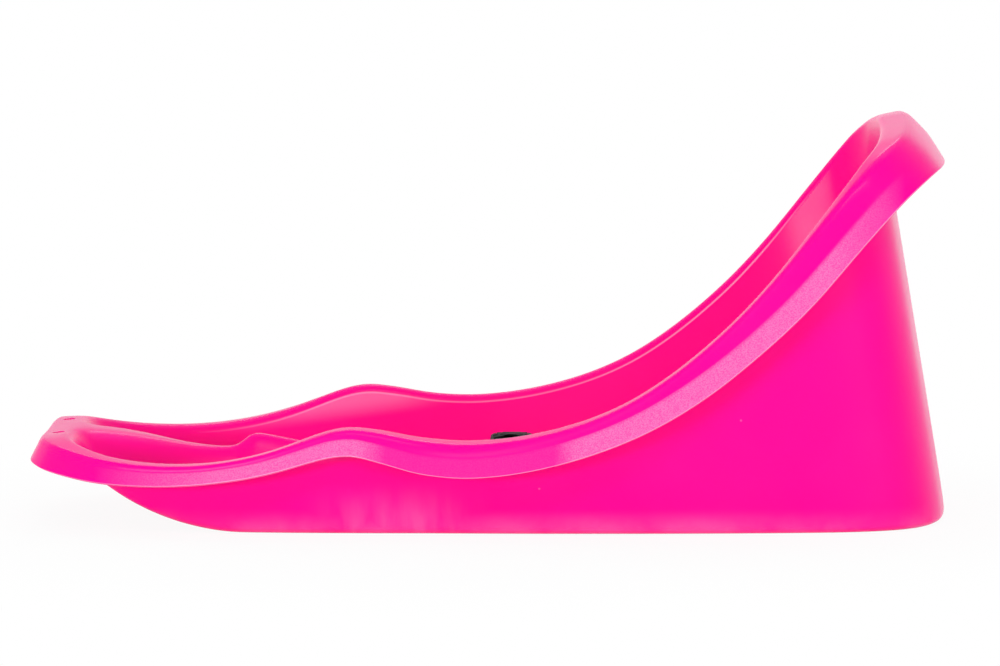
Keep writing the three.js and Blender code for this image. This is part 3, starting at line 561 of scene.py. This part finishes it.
def smooth_route(corners, step):
    """Points at an even distance on a smooth curve through the corners of a route."""
    line = bpy.data.curves.new("route", "CURVE")
    line.dimensions = "3D"
    spline = line.splines.new("BEZIER")
    spline.bezier_points.add(len(corners) - 1)
    for corner, (y, z) in zip(spline.bezier_points, corners):
        corner.co = (0, y, z)
        corner.handle_left_type = corner.handle_right_type = "AUTO"
    line.resolution_u = 24
    carrier = bpy.data.objects.new("route", line)
    bpy.context.collection.objects.link(carrier)
    bpy.context.view_layer.update()
    drawn = carrier.evaluated_get(bpy.context.evaluated_depsgraph_get()).to_mesh()
    points = np.array([vertex.co[:] for vertex in drawn.vertices])
    bpy.data.objects.remove(carrier)
    bpy.data.curves.remove(line)
    run = np.concatenate([[0], np.cumsum(np.linalg.norm(np.diff(points, axis=0), axis=1))])
    count = max(8, round(run[-1] / step))
    even = np.linspace(0, run[-1], count + 1)
    return np.stack([np.interp(even, run, points[:, k]) for k in range(3)], axis=1), run[-1]


def lay_webbing(name, corners):
    """A flat length of webbing, laid along a route and given its thickness."""
    points, length = smooth_route(corners, STEP_ALONG)
    bpy.ops.object.select_all(action="DESELECT")
    bpy.ops.mesh.primitive_grid_add(
        x_subdivisions=STEPS_ACROSS, y_subdivisions=len(points) - 1, size=1, calc_uvs=True)
    strap = bpy.context.object
    strap.name = name
    across = points[1:] - points[:-1]
    across = np.concatenate([across[:1], (across[1:] + across[:-1]) / 2, across[-1:]])
    across /= np.linalg.norm(across, axis=1)[:, None]
    for vertex in strap.data.vertices:
        k = round((vertex.co.y + 0.5) * (len(points) - 1))
        side = vertex.co.x * 2
        rise = Vector((0, -across[k][2], across[k][1]))
        spot = Vector(points[k]) - rise * (EDGE_DROP * side ** 4)
        vertex.co = (belt_x + side * WEBBING_WIDTH / 2, spot.y, spot.z)
    for loop in strap.data.uv_layers.active.data:
        loop.uv = (loop.uv.x * WEBBING_WIDTH, loop.uv.y * length)
    thicken = strap.modifiers.new("cloth_thickness", "SOLIDIFY")
    thicken.thickness = WEBBING_THICKNESS
    thicken.offset = 0
    thicken.use_even_offset = True
    bpy.ops.object.modifier_apply(modifier=thicken.name)
    soften = strap.modifiers.new("woven_edges", "BEVEL")
    soften.width = WEBBING_EDGE
    soften.segments = 2
    soften.limit_method = "ANGLE"
    bpy.ops.object.modifier_apply(modifier=soften.name)
    bpy.ops.object.shade_smooth()
    return strap


fixed_strap = lay_webbing("lap_belt_webbing", fixed_route)
free_strap = lay_webbing("lap_belt_free_end", free_route)

# Black polypropylene webbing, woven with ribs 1.1 mm apart across it and yarns 1.8 mm apart
# along it. It is a deep, dull black, a little greyer on the high spots of the weave.
WEB_BLACK = "#0c0b0d"
WEB_GREY = "#201e22"
RIB_SPACING = 0.0011
YARN_SPACING = 0.0018
WEAVE_DEPTH = 0.0004

# At scale 1 a wave of the pattern is this long
WAVE_LENGTH = math.pi / 10

black_webbing = bpy.data.materials.new("woven_black_polypropylene")
black_webbing.use_nodes = True
tree = black_webbing.node_tree
tree.nodes.clear()
weave_uv = add_node(tree, "ShaderNodeUVMap", {"uv_map": "UVMap"}).outputs[0]
ribs = add_node(tree, "ShaderNodeTexWave", {"bands_direction": "Y"}, Vector=weave_uv,
                Scale=WAVE_LENGTH / RIB_SPACING, Distortion=0.4, Detail=1.0)
yarns = add_node(tree, "ShaderNodeTexWave", {"bands_direction": "X"}, Vector=weave_uv,
                 Scale=WAVE_LENGTH / YARN_SPACING, Distortion=0.3, Detail=1.0)
weave = add_node(tree, "ShaderNodeMath", {"operation": "MULTIPLY"},
                 _0=ribs.outputs["Fac"], _1=yarns.outputs["Fac"])
shade = add_node(tree, "ShaderNodeMix", {"data_type": "RGBA"},
                 _0=weave.outputs[0], _6=linear(WEB_BLACK), _7=linear(WEB_GREY))
bump = add_node(tree, "ShaderNodeBump",
                Strength=0.7, Distance=WEAVE_DEPTH, Height=weave.outputs[0])
fibre = add_node(tree, "ShaderNodeBsdfPrincipled", Base_Color=shade.outputs[2],
                 Roughness=0.62, Specular_IOR_Level=0.05, Normal=bump.outputs[0])
add_node(tree, "ShaderNodeOutputMaterial", Surface=fibre.outputs[0])

for strap, node in ((fixed_strap, "belt_webbing"), (free_strap, "belt_adjusting_end")):
    strap.data.materials.append(black_webbing)
    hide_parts(node)
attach(fixed_strap, "sled")
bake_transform(free_strap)

# The sewn end: two rows across the webbing and a cross between them hold the fold. The
# thread is bonded nylon, and each stitch is a short, tight stroke, pulled into the weave.
STITCH_LENGTH = 0.0022
STITCH_PITCH = 0.0029
STITCH_RADIUS = 0.00033
STITCH_PROUD = 0.2
STITCH_HALF_WIDTH = 0.0098
STITCH_ROWS_Y = (0.0415, 0.0505)
SLOPE_STEP = 0.001
THREAD_GREY = "#3c3a40"
THREAD_PLY = 0.0004

# The webbing's top layer, from the socket's bar to where it drops towards its slot
TOP_LAYER = slice(9, 16)
top_layer = smooth_route(fixed_route[TOP_LAYER], STEP_ALONG / 2)[0]
order = np.argsort(top_layer[:, 1])


def stitch_spot(x, y):
    """A point on top of the webbing, x from its middle line and y along the belt."""
    z = np.interp(y, top_layer[order, 1], top_layer[order, 2])
    ahead_z = np.interp(y + SLOPE_STEP, top_layer[order, 1], top_layer[order, 2])
    slope = math.atan2(ahead_z - z, SLOPE_STEP)
    lift = WEBBING_THICKNESS / 2 + STITCH_RADIUS * STITCH_PROUD
    return Vector((belt_x + x, y - math.sin(slope) * lift, z + math.cos(slope) * lift)), slope


bpy.ops.object.select_all(action="DESELECT")
bpy.ops.mesh.primitive_uv_sphere_add(segments=10, ring_count=8, radius=STITCH_RADIUS)
stitch = bpy.context.object
stitch.name = "belt_stitch"
for vertex in stitch.data.vertices:
    vertex.co.x += math.copysign(STITCH_LENGTH / 2 - STITCH_RADIUS, vertex.co.x)
bpy.ops.object.shade_smooth()

first_row, last_row = STITCH_ROWS_Y
lines = [((-STITCH_HALF_WIDTH, y), (STITCH_HALF_WIDTH, y)) for y in STITCH_ROWS_Y]
lines += [((-STITCH_HALF_WIDTH, first_row), (STITCH_HALF_WIDTH, last_row)),
          ((-STITCH_HALF_WIDTH, last_row), (STITCH_HALF_WIDTH, first_row))]
stitches = []
for (x0, y0), (x1, y1) in lines:
    run = math.hypot(x1 - x0, y1 - y0)
    count = max(2, round(run / STITCH_PITCH))
    turn = math.atan2(y1 - y0, x1 - x0)
    for k in range(count):
        t = (k + 0.5) / count
        spot, slope = stitch_spot(x0 + (x1 - x0) * t, y0 + (y1 - y0) * t)
        copy = stitch.copy()
        copy.data = stitch.data.copy()
        bpy.context.collection.objects.link(copy)
        copy.data.transform(
            Matrix.Translation(spot) @ Matrix.Rotation(slope, 4, "X")
            @ Matrix.Rotation(turn, 4, "Z"))
        stitches.append(copy)
bpy.data.objects.remove(stitch)
bpy.ops.object.select_all(action="DESELECT")
for copy in stitches:
    copy.select_set(True)
bpy.context.view_layer.objects.active = stitches[0]
bpy.ops.object.join()
sewing = bpy.context.object
sewing.name = "belt_stitching"

thread = bpy.data.materials.new("bonded_nylon_thread")
thread.use_nodes = True
tree = thread.node_tree
tree.nodes.clear()
place = add_node(tree, "ShaderNodeTexCoord").outputs["Object"]
ply = add_node(tree, "ShaderNodeTexNoise", Vector=place, Scale=1 / THREAD_PLY, Detail=2.0)
bump = add_node(tree, "ShaderNodeBump",
                Strength=0.5, Distance=THREAD_PLY / 4, Height=ply.outputs["Fac"])
yarn = add_node(tree, "ShaderNodeBsdfPrincipled", Base_Color=linear(THREAD_GREY),
                Roughness=0.45, Normal=bump.outputs[0])
add_node(tree, "ShaderNodeOutputMaterial", Surface=yarn.outputs[0])
sewing.data.materials.clear()
sewing.data.materials.append(thread)
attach(sewing, "sled")


# The socket half of the side-release buckle: a flat sleeve injection moulded in black
# acetal, with a window in each side for the prongs and a bar for the sewn webbing.
SOCKET_WALL = 0.0018
SOCKET_MOUTH_CORNER = 0.0022
SOCKET_END_CORNER = 0.0055
BUCKLE_CROWN = 0.55
MOULDED_EDGE = 0.0011
BROKEN_EDGE = 0.0002
PLUG_GAP = 0.0003
PRONG_LENGTH = 0.024
SIDE_WINDOW = (0.0084, 0.0204)
WEBBING_SLOT = 0.0266
WEBBING_SLOT_SPAN = (0.0262, 0.0306)
BAR_ROOM_START = 0.0270
CUT_CORNER = 0.0008
CUT_PAST = 0.004
HOLLOW_CORNERS = (0.001, 0.0012)
NOTCH = {"radius": 0.0062, "middle": -0.0012, "depth": 0.02, "through": 0.0004}
PANEL = {"half_width": 0.0095, "start": 0.0085, "end": 0.0228, "corner": 0.003,
         "edge": 0.0003, "height": 0.0004, "root": 0.001}
RIDGE = {"count": 4, "first": 0.0112, "pitch": 0.0022, "inset": 0.0040, "half_length": 0.0022,
         "half_width": 0.0005, "height": 0.00035, "root": 0.0008, "corner": 0.0004,
         "edge": 0.0002}


def rounded_block(name, low, high, corners, edge, segments=6):
    """A block between two corners. corners holds the plan radii at low y and at high y, and
    edge is the radius along its top and bottom."""
    bpy.ops.object.select_all(action="DESELECT")
    bpy.ops.mesh.primitive_cube_add(size=1)
    block = bpy.context.object
    block.name = name
    low, high = Vector(low), Vector(high)
    middle = (low + high) / 2
    for vertex in block.data.vertices:
        vertex.co = [m + c * (b - a) for m, c, a, b in zip(middle, vertex.co, low, high)]
    form = bmesh.new()
    form.from_mesh(block.data)
    for radius, front in zip(corners, (True, False)):
        upright = [
            e for e in form.edges
            if abs(e.verts[0].co.z - e.verts[1].co.z) > (high.z - low.z) * 0.9
            and (e.verts[0].co.y < middle.y) == front]
        if radius > 0:
            bmesh.ops.bevel(form, geom=upright, offset=radius, segments=segments, profile=0.5,
                            affect="EDGES")
    if edge > 0:
        form.normal_update()
        rim = [e for e in form.edges if len(e.link_faces) == 2 and
               abs(e.link_faces[0].normal.z - e.link_faces[1].normal.z) > 0.9]
        bmesh.ops.bevel(form, geom=rim, offset=edge, segments=3, profile=0.5, affect="EDGES")
    form.to_mesh(block.data)
    form.free()
    return block


def cut(body, tool, operation="DIFFERENCE"):
    """Cuts one block out of another, or joins it on, and throws the tool away."""
    change = body.modifiers.new("cut", "BOOLEAN")
    change.operation = operation
    change.solver = "EXACT"
    change.object = tool
    bpy.ops.object.select_all(action="DESELECT")
    body.select_set(True)
    bpy.context.view_layer.objects.active = body
    bpy.ops.object.modifier_apply(modifier=change.name)
    bpy.data.objects.remove(tool)


def finish_moulding(body):
    """Breaks every sharp edge a little, as a mould does, and shades the rounds smooth."""
    bpy.ops.object.select_all(action="DESELECT")
    body.select_set(True)
    bpy.context.view_layer.objects.active = body
    soften = body.modifiers.new("broken_edges", "BEVEL")
    soften.width = BROKEN_EDGE
    soften.segments = 2
    soften.limit_method = "ANGLE"
    soften.angle_limit = math.radians(40)
    bpy.ops.object.modifier_apply(modifier=soften.name)
    bpy.ops.object.shade_smooth_by_angle(angle=math.radians(35))


half_width = (socket_high.x - socket_low.x) / 2


def crown(body):
    """Makes a flat moulding thinner towards its sides, like a lens."""
    for vertex in body.data.vertices:
        share = (vertex.co.x - belt_x) / half_width
        vertex.co.z = arch_z + (vertex.co.z - arch_z) * (1 - BUCKLE_CROWN * share ** 2)


socket = rounded_block(
    "buckle_socket_moulding", socket_low, socket_high,
    (SOCKET_MOUTH_CORNER, SOCKET_END_CORNER), MOULDED_EDGE)
# The hollow that the prongs slide into
cut(socket, rounded_block(
    "hollow", (socket_low.x + SOCKET_WALL, -CUT_PAST, socket_low.z + SOCKET_WALL),
    (socket_high.x - SOCKET_WALL, PRONG_LENGTH + PLUG_GAP, socket_high.z - SOCKET_WALL),
    HOLLOW_CORNERS, 0.0))
# The windows in both sides, where the prongs are squeezed
cut(socket, rounded_block(
    "side_windows",
    (belt_x - half_width - CUT_PAST, SIDE_WINDOW[0], socket_low.z + SOCKET_WALL),
    (belt_x + half_width + CUT_PAST, SIDE_WINDOW[1], socket_high.z - SOCKET_WALL),
    (CUT_CORNER, CUT_CORNER), 0.0))
# The slot for the webbing, and the room that it needs above and below its bar
cut(socket, rounded_block(
    "webbing_slot", (belt_x - WEBBING_SLOT / 2, WEBBING_SLOT_SPAN[0], socket_low.z - CUT_PAST),
    (belt_x + WEBBING_SLOT / 2, WEBBING_SLOT_SPAN[1], socket_high.z + CUT_PAST),
    (CUT_CORNER, CUT_CORNER), 0.0))
for low_z, high_z in ((arch_z + BAR_HALF, socket_high.z + CUT_PAST),
                      (socket_low.z - CUT_PAST, arch_z - BAR_HALF)):
    cut(socket, rounded_block(
        "bar_room", (belt_x - WEBBING_SLOT / 2, BAR_ROOM_START, low_z),
        (belt_x + WEBBING_SLOT / 2, socket_high.y + CUT_PAST, high_z), (0.0, 0.0), 0.0))
# The mouth is notched so that a thumb finds the plug, and the flat face has a raised panel
bpy.ops.object.select_all(action="DESELECT")
bpy.ops.mesh.primitive_cylinder_add(
    radius=NOTCH["radius"], depth=NOTCH["depth"], vertices=48,
    location=(belt_x, NOTCH["middle"], socket_high.z))
notch = bpy.context.object
bpy.ops.object.transform_apply(location=True)
for vertex in notch.data.vertices:
    vertex.co.z = max(vertex.co.z, socket_high.z - SOCKET_WALL - NOTCH["through"])
cut(socket, notch)
cut(socket, rounded_block(
    "panel", (belt_x - PANEL["half_width"], PANEL["start"], socket_high.z - PANEL["root"]),
    (belt_x + PANEL["half_width"], PANEL["end"], socket_high.z + PANEL["height"]),
    (PANEL["corner"], PANEL["corner"]), PANEL["edge"]), "UNION")
# Grip ridges beside the windows
for side in (-1, 1):
    for k in range(RIDGE["count"]):
        y = RIDGE["first"] + k * RIDGE["pitch"]
        x = belt_x + side * (half_width - RIDGE["inset"])
        cut(socket, rounded_block(
            "ridge",
            (x - RIDGE["half_length"], y - RIDGE["half_width"], socket_high.z - RIDGE["root"]),
            (x + RIDGE["half_length"], y + RIDGE["half_width"], socket_high.z + RIDGE["height"]),
            (RIDGE["corner"], RIDGE["corner"]), RIDGE["edge"], segments=3), "UNION")
crown(socket)
finish_moulding(socket)

# Black acetal from a spark-eroded mould: an even grain, half dull, with a little more shine
# where fingers rub it. The real grain is finer, and is drawn 0.35 mm wide so that it shows.
ACETAL_BLACK = "#0b0a0c"
ACETAL_WORN = "#161518"
ACETAL_GRAIN = 0.00035
ACETAL_DEPTH = 0.00008
RUB_SIZE = 0.012
RUB_SHARE = 0.6
HALF_DULL = (0.58, 0.48)

black_acetal = bpy.data.materials.new("moulded_black_acetal")
black_acetal.use_nodes = True
tree = black_acetal.node_tree
tree.nodes.clear()
place = add_node(tree, "ShaderNodeTexCoord").outputs["Object"]
eroded = add_node(tree, "ShaderNodeTexNoise", Vector=place, Scale=1 / ACETAL_GRAIN, Detail=2.0)
rubs = add_node(tree, "ShaderNodeTexNoise", Vector=place, Scale=1 / RUB_SIZE, Detail=4.0)
mark_share = add_node(tree, "ShaderNodeMapRange", Value=rubs.outputs["Fac"],
                From_Min=0.5, From_Max=0.75, To_Min=0.0, To_Max=RUB_SHARE)
shade = add_node(tree, "ShaderNodeMix", {"data_type": "RGBA"},
                 _0=mark_share.outputs[0], _6=linear(ACETAL_BLACK), _7=linear(ACETAL_WORN))
dull = add_node(tree, "ShaderNodeMapRange", Value=rubs.outputs["Fac"],
                From_Min=0.3, From_Max=0.7, To_Min=HALF_DULL[0], To_Max=HALF_DULL[1])
bump = add_node(tree, "ShaderNodeBump",
                Strength=0.25, Distance=ACETAL_DEPTH, Height=eroded.outputs["Fac"])
acetal = add_node(tree, "ShaderNodeBsdfPrincipled", Base_Color=shade.outputs[2],
                  Roughness=dull.outputs[0], IOR=1.48, Specular_IOR_Level=0.05,
                  Normal=bump.outputs[0])
add_node(tree, "ShaderNodeOutputMaterial", Surface=acetal.outputs[0])

socket.data.materials.clear()
socket.data.materials.append(black_acetal)
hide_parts("buckle_socket")
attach(socket, "sled")


# The plug half: a frame with two bars that grip the threaded webbing, two springy prongs
# that snap into the socket's side windows, and a tongue that guides it in. It is moulded in
# the same black acetal.
PLUG_BAR_ROOM = 0.0272
PLUG_WINDOWS = ((-0.0103, -0.0043), (-0.0196, -0.0136))
PLUG_BAR_ROOM_END = -0.0050
INSIDE_FRAME = -0.0020
INNER_EDGE = 0.0006
TONGUE = {"width": 0.007, "end": 0.0222, "corner": 0.0026, "thinner": 0.0015}
PRONG_WIDTH = 0.0042
PRONG_PAD = 0.0022
PRONG_ARM = {"end": 0.0100, "corner": 0.0005, "inset": 0.0006}
PRONG_HEAD = {"start": 0.0087, "end": 0.0236, "corner": 0.0024}
PAD_GROOVE = {"count": 4, "first": 0.0110, "pitch": 0.0022, "half_width": 0.0004,
              "depth": 0.0005, "past": 0.001}

plug = rounded_block(
    "buckle_plug_moulding", plug_low, (plug_high.x, -PLUG_GAP, plug_high.z),
    (SOCKET_END_CORNER, SOCKET_MOUTH_CORNER), MOULDED_EDGE)
for near, far in PLUG_WINDOWS:
    cut(plug, rounded_block(
        "bar_window", (belt_x - PLUG_BAR_ROOM / 2, near, plug_low.z - CUT_PAST),
        (belt_x + PLUG_BAR_ROOM / 2, far, plug_high.z + CUT_PAST),
        (CUT_CORNER, CUT_CORNER), 0.0))
for low_z, high_z in ((arch_z + BAR_HALF, plug_high.z + CUT_PAST),
                      (plug_low.z - CUT_PAST, arch_z - BAR_HALF)):
    cut(plug, rounded_block(
        "bar_room", (belt_x - PLUG_BAR_ROOM / 2, plug_low.y - CUT_PAST, low_z),
        (belt_x + PLUG_BAR_ROOM / 2, PLUG_BAR_ROOM_END, high_z), (0.0, 0.0), 0.0))
room_top = plug_high.z - SOCKET_WALL - PLUG_GAP
room_low = plug_low.z + SOCKET_WALL + PLUG_GAP
reach = belt_x + half_width - SOCKET_WALL - PLUG_GAP
cut(plug, rounded_block(
    "tongue", (belt_x - TONGUE["width"] / 2, INSIDE_FRAME, room_low + TONGUE["thinner"]),
    (belt_x + TONGUE["width"] / 2, TONGUE["end"], room_top - TONGUE["thinner"]),
    (0.0, TONGUE["corner"]), INNER_EDGE), "UNION")
for side in (-1, 1):
    inner = reach - PRONG_WIDTH - PRONG_ARM["inset"]
    outer = reach - PRONG_ARM["inset"]
    arm = sorted((belt_x + side * (inner - belt_x), belt_x + side * (outer - belt_x)))
    cut(plug, rounded_block(
        "prong_arm", (arm[0], INSIDE_FRAME, room_low), (arm[1], PRONG_ARM["end"], room_top),
        (0.0, PRONG_ARM["corner"]), INNER_EDGE), "UNION")
    pad = sorted((belt_x + side * (inner - PRONG_PAD / 2 - belt_x),
                  belt_x + side * (reach - belt_x)))
    cut(plug, rounded_block(
        "prong_head", (pad[0], PRONG_HEAD["start"], room_low),
        (pad[1], PRONG_HEAD["end"], room_top),
        (CUT_CORNER, PRONG_HEAD["corner"]), INNER_EDGE), "UNION")
    for k in range(PAD_GROOVE["count"]):
        y = PAD_GROOVE["first"] + k * PAD_GROOVE["pitch"]
        x = belt_x + side * (reach - belt_x)
        cut(plug, rounded_block(
            "pad_groove",
            (x - PAD_GROOVE["depth"], y - PAD_GROOVE["half_width"],
             room_low - PAD_GROOVE["past"]),
            (x + PAD_GROOVE["depth"], y + PAD_GROOVE["half_width"],
             room_top + PAD_GROOVE["past"]), (0.0, 0.0), 0.0))
crown(plug)
finish_moulding(plug)

plug.data.materials.clear()
plug.data.materials.append(black_acetal)
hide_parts("buckle_plug")
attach(plug, "plug")
